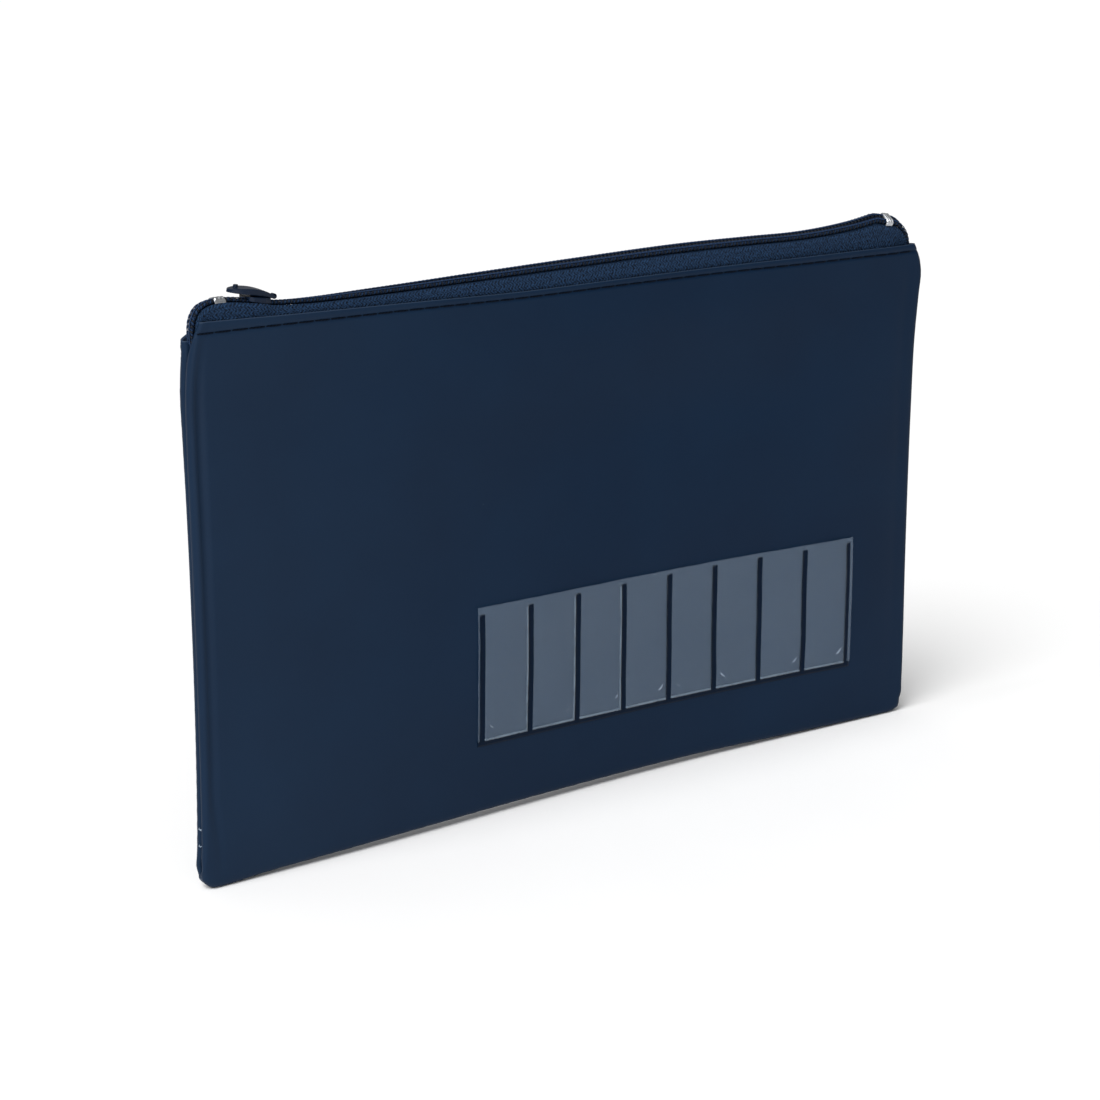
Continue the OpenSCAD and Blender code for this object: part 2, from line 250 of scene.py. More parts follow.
def panel_grid(panel):
    """Points of one panel, bottom fold to top edge, with the rolls and allowances at its sides."""
    roll = (EDGE_HALF - SEAM_GAP) / 2
    widening = [1.6, 2.2, 2.9, 3.6, 4.3, 5, 5.8, 6.7, 7.7, 8.9, 10.3]
    side_steps = np.concatenate([closing(roll, 7), widening])
    columns = spaced(side_steps, 11.6, 2 * HALF_W - 11.6, 1.2)
    columns = np.concatenate([columns, 2 * HALF_W - side_steps[::-1]]) / (2 * HALF_W)
    low_steps = np.concatenate([closing(FOLD_W, 9), [2.9, 3.5, 4.3, 5.2, 6.3, 7.6, 9.1, 10.8]])
    hem_steps = np.array([7, 6, 5, 4.2, 3.6, 3.2, 2.9, 2.6, 2.3, 2.0, 1.7, 1.4, 1.0, 0.6, 0.3, 0])
    rows = spaced(low_steps, 12.6, PANEL_H - 8.5, 1.9)
    rows = np.concatenate([rows, PANEL_H - hem_steps]) / PANEL_H

    left_keys = LEFT_EDGE_BACK if panel == BACK else LEFT_EDGE
    left_line = line_through([(LEFT * HALF_W + x, z) for x, z in left_keys])
    right_line = line_through([(RIGHT * HALF_W + x, z) for x, z in RIGHT_EDGE])
    low_line = line_through(BOTTOM_EDGE)
    top_line = line_through(TOP_EDGE_BACK if panel == BACK else TOP_EDGE)
    left, right = share_of(left_line, rows)[:, None], share_of(right_line, rows)[:, None]
    low, top = share_of(low_line, columns)[None], share_of(top_line, columns)[None]
    u, v = columns[None, :, None], rows[:, None, None]
    flat = (
        (1 - u) * left + u * right + (1 - v) * low + v * top
        - (1 - u) * (1 - v) * low[:, :1] - u * (1 - v) * low[:, -1:]
        - (1 - u) * v * top[:, :1] - u * v * top[:, -1:]
    )
    x, z = flat[..., 0], flat[..., 1]

    outline = np.concatenate([left_line[::-1], low_line[1:], right_line[1:]])
    edge = np.full(x.shape, np.inf)
    for part in np.array_split(outline, 24):
        gap = (x[..., None] - part[:, 0]) ** 2 + (z[..., None] - part[:, 1]) ** 2
        edge = np.minimum(edge, gap.min(-1))
    edge = np.sqrt(edge)
    edge[:, 0] = edge[:, -1] = edge[0] = 0

    depth = half_depth(x, z, panel)
    gap = eased(VALLEY, z)
    roll_r = (np.minimum(depth, 3.1) - gap) / 2
    rolled = depth - roll_r + np.sqrt(np.maximum(roll_r ** 2 - np.maximum(roll_r - edge, 0) ** 2, 0))
    folded = depth * np.maximum(1 - np.maximum(1 - edge / FOLD_W, 0) ** 2.8, 0) ** (1 / 2.8)
    seamed = smooth((z - VALLEY_END_Z + 1) / 2)
    y = seamed * rolled + (1 - seamed) * folded
    sheet = [np.stack([x, panel * y + bow(x, z), z], -1)]

    # Beyond each outline the sheet turns in, over the roll and along the allowance.
    turns = np.linspace(0, math.pi / 2, 7)[1:]
    inward = [2.4, 3.8, 5.2, ALLOWANCE_W]
    for end, column in ((LEFT, 0), (RIGHT, -1)):
        ex, ez, ey = x[:, column], z[:, column], y[:, column]
        share, half_gap, r = seamed[:, column], gap[:, column], roll_r[:, column]
        inner = [
            (ex - end * share * r * (1 - math.cos(a)), ey + (share * half_gap - ey) * math.sin(a))
            for a in turns
        ]
        inner += [(ex - end * share * step, share * half_gap) for step in inward]
        strip = np.stack([np.stack([px, panel * py + bow(px, ez), ez], -1) for px, py in inner], 1)
        sheet = [strip[:, ::-1]] + sheet if end == LEFT else sheet + [strip]
    return np.concatenate(sheet, 1)


# ---------------------------------------------------------------- the chain's line

# The top of the tapes, from inside the left seam, along the mouth and into the right seam.
CHAIN_LINE = line_through([
    (-109.4, 132.5), (-110.1, 136), (-110.8, 139.2), (-110.9, 142), (-110.4, 144.5), (-109.1, 146.4),
    (-106.6, 147.4), (-103, 147.5), (-99, 147.0), (-95, 146.2), (-90, 145.3), (-82, 144.8), (-60, 144.6),
    (-30, 144.8), (0, 145.0), (36, 145.0), (58, 144.4), (75, 143.9), (87, 144.3), (95, 145.0), (98.5, 145.5),
    (101.6, 145.9), (104.6, 145.3), (107.8, 144.6), (110.2, 143.1), (111.8, 140.8), (112.6, 137.5),
    (112.6, 133),
], per_mm=8)
CHAIN_ALONG = lengths_of(CHAIN_LINE)
CHAIN_L = CHAIN_ALONG[-1]
CHAIN_AHEAD = np.gradient(CHAIN_LINE, axis=0)
CHAIN_AHEAD /= np.linalg.norm(CHAIN_AHEAD, axis=1)[:, None]
# The chain rolls away from the front under the slider and towards it further on, in degrees.
CHAIN_ROLL = [
    (-112, -10), (-106, -14), (-98, -15), (-88, -14), (-78, -7), (-62, 1), (-40, 9), (-10, 16), (30, 20),
    (92, 23), (100, 30), (105, 34), (109, 26), (112, 12), (112.7, 6),
]
COIL_PITCH = 1.2
WIRE_R = 0.26
CHAIN_HALF = 1.9            # from the middle of the chain to the back of a coil
COIL_TIP = -0.36            # how far a coil's heads reach past the middle
COIL_H = 1.3
WEDGE_X = SLIDER_X - 1.7    # where the slider's wedge is widest
PART_MAX = 1.15             # how far it holds each coil from the middle
LEAD_L, CLOSE_L = 6.5, 4.2  # over what lengths the coils part before it and mesh behind it


def chain_frame(along):
    """The chain at some lengths along it: its points, and its directions ahead, towards the back and up."""
    x, z = (np.interp(along, CHAIN_ALONG, c) for c in CHAIN_LINE.T)
    ahead_x, ahead_z = (np.interp(along, CHAIN_ALONG, c) for c in CHAIN_AHEAD.T)
    none = np.zeros_like(x)
    roll = np.radians(eased(CHAIN_ROLL, x))[..., None]
    ahead = np.stack([ahead_x, none, ahead_z], -1)
    flat_up = np.stack([-ahead_z, none, ahead_x], -1)
    flat_back = np.stack([none, none + 1, none], -1)
    back = np.cos(roll) * flat_back + np.sin(roll) * flat_up
    up = np.cos(roll) * flat_up - np.sin(roll) * flat_back
    return np.stack([x, none, z], -1), ahead, back, up


def on_chain(along, across, above):
    """Points beside and over the top of the tapes."""
    point, _, back, up = chain_frame(along)
    return point + back * np.asarray(across)[..., None] + up * np.asarray(above)[..., None]


def parting(along):
    """How far the slider's wedge holds each coil from the middle."""
    x = np.interp(along, CHAIN_ALONG, CHAIN_LINE[:, 0])
    share = (x - WEDGE_X) / np.where(x < WEDGE_X, LEAD_L, CLOSE_L)
    return np.where(np.abs(share) < 1, PART_MAX * np.cos(np.pi / 2 * np.clip(share, -1, 1)) ** 2, 0)


def pinch(along):
    """The chain's ends are squeezed between the rolls that they run into."""
    return 1 - 0.36 * smooth((13 - along) / 10) - 0.3 * smooth((along - CHAIN_L + 8) / 7)


def along_at(x):
    return np.interp(x, CHAIN_LINE[:, 0], CHAIN_ALONG)


# ---------------------------------------------------------------- meshes

def make_piece(name, parts):
    """One mesh from parts of (points in mm, faces, UV in mm for each face's corners or None)."""
    points, faces, corners, start = [], [], [], 0
    for part_points, part_faces, part_uv in parts:
        part_points = np.asarray(part_points, float).reshape(-1, 3)
        points.append(part_points)
        faces += [tuple(int(i) + start for i in face) for face in part_faces]
        corners += part_uv if part_uv is not None else [(0, 0)] * sum(len(face) for face in part_faces)
        start += len(part_points)
    mesh = bpy.data.meshes.new(name)
    mesh.from_pydata((np.concatenate(points) * MM).tolist(), [], faces)
    mesh.uv_layers.new(name="UVMap").data.foreach_set("uv", np.asarray(corners, float).ravel())
    mesh.polygons.foreach_set("use_smooth", [True] * len(faces))
    mesh.update()
    piece = bpy.data.objects.new(name, mesh)
    bpy.context.scene.collection.objects.link(piece)
    return piece


def grid_part(points, uv=None, flip=False):
    """Faces over a grid of points, which look along the first side crossed with the second."""
    rows, columns = points.shape[:2]
    at = np.arange(rows * columns).reshape(rows, columns)
    quads = np.stack([at[:-1, :-1], at[:-1, 1:], at[1:, 1:], at[1:, :-1]], -1).reshape(-1, 4)
    if flip:
        quads = quads[:, ::-1]
    corners = None if uv is None else uv.reshape(-1, 2)[quads.ravel()].tolist()
    return points, quads.tolist(), corners


def thread_part(line, radius, sides, beside):
    """A round thread or wire along a line, closed at both ends. beside is a direction it never runs in."""
    line = np.asarray(line, float)
    count = len(line)
    ahead = np.gradient(line, axis=0)
    ahead /= np.linalg.norm(ahead, axis=1)[:, None]
    first = np.cross(ahead, np.broadcast_to(beside, line.shape))
    first /= np.linalg.norm(first, axis=1)[:, None]
    second = np.cross(ahead, first)
    angle = np.arange(sides) * 2 * np.pi / sides
    ring = np.cos(angle)[None, :, None] * first[:, None] + np.sin(angle)[None, :, None] * second[:, None]
    points = line[:, None] + np.reshape(radius, (-1, 1, 1)) * ring
    at = np.arange(count * sides).reshape(count, sides)
    turned = np.roll(at, -1, 1)
    quads = np.stack([at[:-1], turned[:-1], turned[1:], at[1:]], -1).reshape(-1, 4)
    length = lengths_of(line)
    around = np.arange(sides) / sides
    shape = count - 1, sides
    u0, u1 = np.broadcast_to(length[:-1, None], shape), np.broadcast_to(length[1:, None], shape)
    v0 = np.broadcast_to(around, shape)
    v1 = v0 + 1 / sides
    corners = np.stack([u0, v0, u0, v1, u1, v1, u1, v0], -1).reshape(-1, 2).tolist()
    faces = quads.tolist() + [at[0][::-1].tolist(), at[-1].tolist()]
    corners += [(0, 0)] * sides + [(length[-1], 0)] * sides
    return points, faces, corners


def settle(piece):
    """Makes the shape that the modifiers give the piece its own."""
    bpy.context.view_layer.update()
    shaped = piece.evaluated_get(bpy.context.evaluated_depsgraph_get())
    mesh = bpy.data.meshes.new_from_object(shaped)
    piece.modifiers.clear()
    piece.data = mesh
    return piece


def thicken(piece, thickness, offset, inner=0, rim=0):
    """Gives a surface its thickness. inner and rim are how many materials on their finishes are."""
    solid = piece.modifiers.new("thickness", "SOLIDIFY")
    solid.thickness = thickness * MM
    solid.offset = offset
    solid.use_quality_normals = True
    solid.material_offset = inner
    solid.material_offset_rim = rim
    return settle(piece)


def weld_close(piece, gap=0.002):
    """Joins points that meet and drops the faces that this closes up."""
    shape = bmesh.new()
    shape.from_mesh(piece.data)
    bmesh.ops.remove_doubles(shape, verts=shape.verts, dist=gap * MM)
    shape.to_mesh(piece.data)
    shape.free()


def belongs(piece, body, slot, *nodes):
    """The piece rides on a body and stands for some CAD nodes, which it hides. slot is not used."""
    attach(piece, body)
    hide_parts(*nodes)
    return piece


def finish_with(piece, *materials):
    piece.data.materials.clear()
    for material in materials:
        piece.data.materials.append(material)


# ---------------------------------------------------------------- finishes

def colour(code):
    """A linear colour from an sRGB hex code."""
    parts = (int(code[i:i + 2], 16) / 255 for i in (1, 3, 5))
    return tuple(c / 12.92 if c <= 0.04045 else ((c + 0.055) / 1.055) ** 2.4 for c in parts) + (1,)


def per(size):
    """Texture scale for features of a size in mm, where the coordinates are in metres."""
    return 1 / (size * MM)


def add(tree, kind, settings=(), links=()):
    """One node with its settings, fed by other nodes' outputs."""
    item = tree.nodes.new("ShaderNode" + kind)
    for name, value in dict(settings).items():
        if isinstance(name, int) or name in item.inputs:
            item.inputs[name].default_value = value
        else:
            setattr(item, name, value)
    for name, source in dict(links).items():
        tree.links.new(source, item.inputs[name])
    return item


def new_finish(name):
    """An empty material: its tree and its output node."""
    material = bpy.data.materials.new(name)
    material.use_nodes = True
    material.node_tree.nodes.clear()
    output = material.node_tree.nodes.new("ShaderNodeOutputMaterial")
    return material, material.node_tree, output


def coated_fabric():
    """PVC-coated polyester, calendered to a satin face: a deep navy with a soft broad sheen and a faint fine
    grain, a little uneven, with a painted highlight along its folds, a painted sheen towards its left end
    and a few specks of lint."""
    material, tree, output = new_finish("coated_fabric")
    place = add(tree, "TexCoord").outputs["Object"]
    cloudy = add(tree, "TexNoise", {"Scale": per(38), "Detail": 3, "Roughness": 0.55}, {"Vector": place})
    tint = add(tree, "ValToRGB", links={"Fac": cloudy.outputs["Fac"]})
    tint.color_ramp.elements[0].position = 0.3
    tint.color_ramp.elements[0].color = colour("#071d34")
    tint.color_ramp.elements[1].position = 0.72
    tint.color_ramp.elements[1].color = colour("#092139")
    specks = add(tree, "TexVoronoi", {"Scale": per(15), "Randomness": 1}, {"Vector": place})
    lint = add(tree, "MapRange", {"From Min": 0.008, "From Max": 0.004},
               {"Value": specks.outputs["Distance"]})
    # Painted highlight: the coating is made a little paler along its folds.
    bend = add(tree, "NewGeometry").outputs["Pointiness"]
    fold = add(tree, "MapRange", {"From Min": 0.53, "From Max": 0.62, "To Max": 0.3}, {"Value": bend})
    # Painted sheen: the coating is made a little paler towards its left end.
    across = add(tree, "SeparateXYZ", links={"Vector": place})
    dull = add(tree, "MapRange", {"From Min": 0, "From Max": -100 * MM, "To Max": 0.033},
               {"Value": across.outputs["X"]})
    # The painted highlight on the folds and the painted sheen at the left, then the lint specks with them.
    painted_highlight = add(tree, "Math", {"operation": "ADD"}, {0: fold.outputs["Result"], 1: dull.outputs["Result"]})
    lint_and_highlight = add(tree, "Math", {"operation": "MAXIMUM"}, {0: lint.outputs["Result"], 1: painted_highlight.outputs["Value"]})
    face = add(tree, "Mix", {"data_type": "RGBA", 7: colour("#66778c")},
               {0: lint_and_highlight.outputs["Value"], 6: tint.outputs["Color"]})
    gloss = add(tree, "MapRange", {"To Min": 0.44, "To Max": 0.54}, {"Value": cloudy.outputs["Fac"]})
    # Calender grain of about 0.4 mm, and the base cloth's unevenness of about 2 mm showing through.
    grain = add(tree, "TexNoise", {"Scale": per(0.4), "Detail": 2}, {"Vector": place})
    cloth = add(tree, "TexNoise", {"Scale": per(2.2), "Detail": 2}, {"Vector": place})
    relief = add(tree, "Math", {"operation": "MULTIPLY_ADD", 1: 2.5},
                 {0: cloth.outputs["Fac"], 2: grain.outputs["Fac"]})
    bump = add(tree, "Bump", {"Strength": 0.1, "Distance": 0.02 * MM}, {"Height": relief.outputs["Value"]})
    skin = add(tree, "BsdfPrincipled", {"IOR": 1.5, "Specular IOR Level": 0.09}, {
        "Base Color": face.outputs[2], "Roughness": gloss.outputs["Result"], "Normal": bump.outputs["Normal"],
    })
    tree.links.new(skin.outputs["BSDF"], output.inputs["Surface"])
    return material


def fabric_backing():
    """The polyester cloth behind the coating, which shows on cut edges and inside: a dull navy weave."""
    material, tree, output = new_finish("fabric_backing")
    place = add(tree, "TexCoord").outputs["Object"]
    # The waves turn by one radian every 0.5 mm, so their ribs are 3.1 mm apart, coarser than the threads.
    warp = add(tree, "TexWave", {"Scale": per(0.5) / 20, "bands_direction": "X"}, {"Vector": place})
    weft = add(tree, "TexWave", {"Scale": per(0.5) / 20, "bands_direction": "Z"}, {"Vector": place})
    weave = add(tree, "Math", {"operation": "MAXIMUM"}, {0: warp.outputs["Fac"], 1: weft.outputs["Fac"]})
    tint = add(tree, "ValToRGB", links={"Fac": weave.outputs["Value"]})
    tint.color_ramp.elements[0].color = colour("#101d31")
    tint.color_ramp.elements[1].color = colour("#22324a")
    bump = add(tree, "Bump", {"Strength": 0.5, "Distance": 0.05 * MM}, {"Height": weave.outputs["Value"]})
    skin = add(tree, "BsdfPrincipled", {"Roughness": 0.8, "Specular IOR Level": 0.2},
               {"Base Color": tint.outputs["Color"], "Normal": bump.outputs["Normal"]})
    tree.links.new(skin.outputs["BSDF"], output.inputs["Surface"])
    return material


def clear_film():
    """Clear plasticised PVC film, calendered: glossy, with a milky haze and white scuffs where the corners of
    the labels have rubbed it."""
    material, tree, output = new_finish("clear_film")
    place = add(tree, "TexCoord").outputs["Object"]
    haze = add(tree, "TexNoise", {"Scale": per(22), "Detail": 3}, {"Vector": place})
    tint = add(tree, "ValToRGB", links={"Fac": haze.outputs["Fac"]})
    tint.color_ramp.elements[0].color = colour("#7388a0")
    tint.color_ramp.elements[1].color = colour("#7f92a8")
    # A scuff is an arc of 2.6 mm radius in a pocket's lower corner, which only some pockets have.
    split = add(tree, "SeparateXYZ", links={"Vector": add(tree, "TexCoord").outputs["UV"]})
    shifted = add(tree, "Math", {"operation": "ADD", 1: -WELD_W / 2}, {0: split.outputs["X"]})
    aside = add(tree, "Math", {"operation": "PINGPONG", 1: POCKET_PITCH / 2}, {0: shifted.outputs["Value"]})
    arc_x = add(tree, "Math", {"operation": "ADD", 1: -4.6}, {0: aside.outputs["Value"]})
    arc_z = add(tree, "Math", {"operation": "ADD", 1: -7.2}, {0: split.outputs["Y"]})
    flat = add(tree, "CombineXYZ", links={"X": arc_x.outputs["Value"], "Y": arc_z.outputs["Value"]})
    reach = add(tree, "VectorMath", {"operation": "LENGTH"}, {0: flat.outputs["Vector"]})
    ring = add(tree, "Math", {"operation": "COMPARE", 1: 2.6, 2: 0.1}, {0: reach.outputs["Value"]})
    # Only the quarter towards the corner: from 0.5 mm below and beside the arc's middle on.
    low = add(tree, "MapRange", {"From Min": -0.5, "From Max": -1.3}, {"Value": arc_z.outputs["Value"]})
    beside = add(tree, "MapRange", {"From Min": -0.5, "From Max": -1.1}, {"Value": arc_x.outputs["Value"]})
    rubbed = add(tree, "TexNoise", {"Scale": per(6), "Detail": 2}, {"Vector": place})
    some = add(tree, "MapRange", {"From Min": 0.42, "From Max": 0.6}, {"Value": rubbed.outputs["Fac"]})
    corner = add(tree, "Math", {"operation": "MULTIPLY"},
                 {0: low.outputs["Result"], 1: beside.outputs["Result"]})
    patch = add(tree, "Math", {"operation": "MULTIPLY"},
                {0: corner.outputs["Value"], 1: some.outputs["Result"]})
    arc = add(tree, "Math", {"operation": "MULTIPLY"}, {0: patch.outputs["Value"], 1: ring.outputs["Value"]})
    # Dust: specks of about 0.2 mm, one or two to a pocket.
    dust = add(tree, "TexVoronoi", {"Scale": per(5), "Randomness": 1}, {"Vector": place})
    speck = add(tree, "MapRange", {"From Min": 0.035, "From Max": 0.015}, {"Value": dust.outputs["Distance"]})
    marks = add(tree, "Math", {"operation": "MAXIMUM"}, {0: arc.outputs["Value"], 1: speck.outputs["Result"]})
    alpha = add(tree, "MapRange", {"To Min": 0.19, "To Max": 0.6}, {"Value": marks.outputs["Value"]})
    face = add(tree, "Mix", {"data_type": "RGBA", 7: colour("#c3ced8")},
               {0: marks.outputs["Value"], 6: tint.outputs["Color"]})
    gloss = add(tree, "MapRange", {"To Min": 0.14, "To Max": 0.5}, {"Value": marks.outputs["Value"]})
    skin = add(tree, "BsdfPrincipled", {"IOR": 1.53, "Specular IOR Level": 0.4}, {
        "Base Color": face.outputs[2], "Roughness": gloss.outputs["Result"], "Alpha": alpha.outputs["Result"],
    })
    tree.links.new(skin.outputs["BSDF"], output.inputs["Surface"])
    return material


def welded_film():
    """Film fused to the fabric under a heated bar: clear and wet-looking, so it is as dark as the fabric."""
    material, tree, output = new_finish("welded_film")
    place = add(tree, "TexCoord").outputs["Object"]
    # The bar leaves pits about 0.5 mm across.
    pits = add(tree, "TexNoise", {"Scale": per(0.5), "Detail": 2}, {"Vector": place})
    tint = add(tree, "ValToRGB", links={"Fac": pits.outputs["Fac"]})
    tint.color_ramp.elements[0].color = colour("#030f1e")
    tint.color_ramp.elements[1].color = colour("#07192e")
    bump = add(tree, "Bump", {"Strength": 0.35, "Distance": 0.04 * MM}, {"Height": pits.outputs["Fac"]})
    skin = add(tree, "BsdfPrincipled", {"Roughness": 0.3, "IOR": 1.53, "Specular IOR Level": 0.05},
               {"Base Color": tint.outputs["Color"], "Normal": bump.outputs["Normal"]})
    tree.links.new(skin.outputs["BSDF"], output.inputs["Surface"])
    return material


def painted_lip_highlight():
    """Painted highlight on the film's slope beside the heated bar, where it bends and catches the light: pale
    and glossy.
    """
    material, tree, output = new_finish("painted_lip_highlight")
    place = add(tree, "TexCoord").outputs["Object"]
    # The painted highlight is brightest in stretches of a few millimetres.
    uneven = add(tree, "TexNoise", {"Scale": per(4), "Detail": 2}, {"Vector": place})
    tint = add(tree, "ValToRGB", links={"Fac": uneven.outputs["Fac"]})
    tint.color_ramp.elements[0].color = colour("#5c6f83")
    tint.color_ramp.elements[1].color = colour("#93a5b6")
    skin = add(tree, "BsdfPrincipled", {"Roughness": 0.25, "IOR": 1.53, "Alpha": 0.6},
               {"Base Color": tint.outputs["Color"]})
    tree.links.new(skin.outputs["BSDF"], output.inputs["Surface"])
    return material


def zip_tape():
    """Polyester zip tape, woven in a herringbone: small floats that slant the other way in every rib."""
    material, tree, output = new_finish("zip_tape")
    uv = add(tree, "TexCoord").outputs["UV"]
    split = add(tree, "SeparateXYZ", links={"Vector": uv})
    # Floats 0.95 mm apart, in ribs 0.9 mm wide that lean one way and then the other: nearly twice as coarse
    # as the real weave, so that they show.
    rib = add(tree, "Math", {"operation": "PINGPONG", 1: 0.9}, {0: split.outputs["Y"]})
    lean = add(tree, "Math", {"operation": "ADD"}, {0: split.outputs["X"], 1: rib.outputs["Value"]})
    slant = add(tree, "Math", {"operation": "MULTIPLY", 1: 2 * math.pi / 0.95}, {0: lean.outputs["Value"]})
    float_wave = add(tree, "Math", {"operation": "SINE"}, {0: slant.outputs["Value"]})
    yarn = add(tree, "TexNoise", {"Scale": 1.5, "Detail": 3, "Roughness": 0.75}, {"Vector": uv})
    rough = add(tree, "Math", {"operation": "MULTIPLY_ADD", 1: 11, 2: -5.5}, {0: yarn.outputs["Fac"]})
    height = add(tree, "Math", {"operation": "ADD"},
                 {0: float_wave.outputs["Value"], 1: rough.outputs["Value"]})
    shade = add(tree, "MapRange", {"From Min": -2.1, "From Max": 2.3}, {"Value": height.outputs["Value"]})
    tint = add(tree, "ValToRGB", links={"Fac": shade.outputs["Result"]})
    tint.color_ramp.elements[0].color = colour("#050b15")
    tint.color_ramp.elements[1].color = colour("#2b4a70")
    bump = add(tree, "Bump", {"Strength": 0.9, "Distance": 0.14 * MM}, {"Height": height.outputs["Value"]})
    skin = add(tree, "BsdfPrincipled", {"Roughness": 0.75, "Specular IOR Level": 0.12},
               {"Base Color": tint.outputs["Color"], "Normal": bump.outputs["Normal"]})
    tree.links.new(skin.outputs["BSDF"], output.inputs["Surface"])
    return material


def nylon_coil():
    """Drawn nylon monofilament, dyed near black: hard, round and glossy, with fine draw lines."""
    material, tree, output = new_finish("nylon_coil")
    uv = add(tree, "TexCoord").outputs["UV"]
    # The lines run along the filament: UV goes in mm along it and once round it.
    stretched = add(tree, "Mapping", {"Scale": (0.6, 9, 1)}, {"Vector": uv})
    lines = add(tree, "TexNoise", {"Scale": 3, "Detail": 2}, {"Vector": stretched.outputs["Vector"]})
    tint = add(tree, "ValToRGB", links={"Fac": lines.outputs["Fac"]})
    tint.color_ramp.elements[0].color = colour("#04080f")
    tint.color_ramp.elements[1].color = colour("#0a1320")
    gloss = add(tree, "MapRange", {"To Min": 0.24, "To Max": 0.36}, {"Value": lines.outputs["Fac"]})
    skin = add(tree, "BsdfPrincipled", {"IOR": 1.53, "Specular IOR Level": 0.14},
               {"Base Color": tint.outputs["Color"], "Roughness": gloss.outputs["Result"]})
    tree.links.new(skin.outputs["BSDF"], output.inputs["Surface"])
    return material


def sewing_thread(name, dark, light, shine):
    """Spun polyester thread, twisted from plies: a rope-like slant of shade along it and a little fuzz."""
    material, tree, output = new_finish(name)
    uv = add(tree, "TexCoord").outputs["UV"]
    split = add(tree, "SeparateXYZ", links={"Vector": uv})
    # Two plies that go once round every 1.8 mm, so that one passes every 0.9 mm.
    along = add(tree, "Math", {"operation": "MULTIPLY", 1: 2 * math.pi / 0.9}, {0: split.outputs["X"]})
    twist = add(tree, "Math", {"operation": "MULTIPLY_ADD", 1: 4 * math.pi},
                {0: split.outputs["Y"], 2: along.outputs["Value"]})
    ply = add(tree, "Math", {"operation": "SINE"}, {0: twist.outputs["Value"]})
    shade = add(tree, "MapRange", {"From Min": -1, "From Max": 1}, {"Value": ply.outputs["Value"]})
    tint = add(tree, "ValToRGB", links={"Fac": shade.outputs["Result"]})
    tint.color_ramp.elements[0].color = colour(dark)
    tint.color_ramp.elements[1].color = colour(light)
    bump = add(tree, "Bump", {"Strength": 0.6, "Distance": 0.05 * MM}, {"Height": ply.outputs["Value"]})
    skin = add(tree, "BsdfPrincipled", {"Roughness": 0.6, "Specular IOR Level": shine},
               {"Base Color": tint.outputs["Color"], "Normal": bump.outputs["Normal"]})
    tree.links.new(skin.outputs["BSDF"], output.inputs["Surface"])
    return material


def stop_metal():
    """Aluminium strip, cut and crimped bright: pale and shiny, dulled a little along the press marks."""
    material, tree, output = new_finish("stop_metal")
    place = add(tree, "TexCoord").outputs["Object"]
    drag = add(tree, "Mapping", {"Scale": (per(3), per(0.15), per(0.15))}, {"Vector": place})
    marks = add(tree, "TexNoise", {"Scale": 1, "Detail": 2}, {"Vector": drag.outputs["Vector"]})
    tint = add(tree, "ValToRGB", links={"Fac": marks.outputs["Fac"]})
    tint.color_ramp.elements[0].color = colour("#8d9196")
    tint.color_ramp.elements[1].color = colour("#d3d5d8")
    gloss = add(tree, "MapRange", {"To Min": 0.25, "To Max": 0.42}, {"Value": marks.outputs["Fac"]})
    bump = add(tree, "Bump", {"Strength": 0.2, "Distance": 0.02 * MM}, {"Height": marks.outputs["Fac"]})
    skin = add(tree, "BsdfPrincipled", {"Metallic": 1},
               {"Base Color": tint.outputs["Color"], "Roughness": gloss.outputs["Result"],
                "Normal": bump.outputs["Normal"]})
    tree.links.new(skin.outputs["BSDF"], output.inputs["Surface"])
    return material


def slider_paint():
    """Stoved enamel on a zinc die casting: navy with an orange-peel gloss, with a painted highlight on its
    high edges.
    """
    material, tree, output = new_finish("slider_paint")
    place = add(tree, "TexCoord").outputs["Object"]
    peel = add(tree, "TexNoise", {"Scale": per(0.6), "Detail": 2}, {"Vector": place})
    # Painted highlight: the high edges, found by their pointiness, are made paler in patches.
    edges = add(tree, "NewGeometry").outputs["Pointiness"]
    painted_highlight = add(tree, "MapRange", {"From Min": 0.56, "From Max": 0.68}, {"Value": edges})
    patchy_highlight = add(tree, "Math", {"operation": "MULTIPLY"}, {0: painted_highlight.outputs["Result"], 1: peel.outputs["Fac"]})
    tint = add(tree, "ValToRGB", links={"Fac": patchy_highlight.outputs["Value"]})
    tint.color_ramp.elements[0].color = colour("#0b1a2e")
    tint.color_ramp.elements[1].color = colour("#3d526d")
    bump = add(tree, "Bump", {"Strength": 0.25, "Distance": 0.03 * MM}, {"Height": peel.outputs["Fac"]})
    skin = add(tree, "BsdfPrincipled", {"Roughness": 0.36, "IOR": 1.5, "Specular IOR Level": 0.15},
               {"Base Color": tint.outputs["Color"], "Normal": bump.outputs["Normal"]})
    tree.links.new(skin.outputs["BSDF"], output.inputs["Surface"])
    return material


# ---------------------------------------------------------------- pouch

def sew_body_sheet():
    """One sheet from the front's top edge, round the bottom fold, to the back's top edge."""
    front, back = panel_grid(FRONT), panel_grid(BACK)
    sheet = make_piece("sewn_body_sheet", [grid_part(front), grid_part(back, flip=True)])
    weld_close(sheet)
    finish_with(sheet, coated_fabric(), fabric_backing())
    thicken(sheet, SHEET_T, -1, inner=1, rim=1)
    belongs(sheet, "pouch", "coated_fabric", "body_sheet")


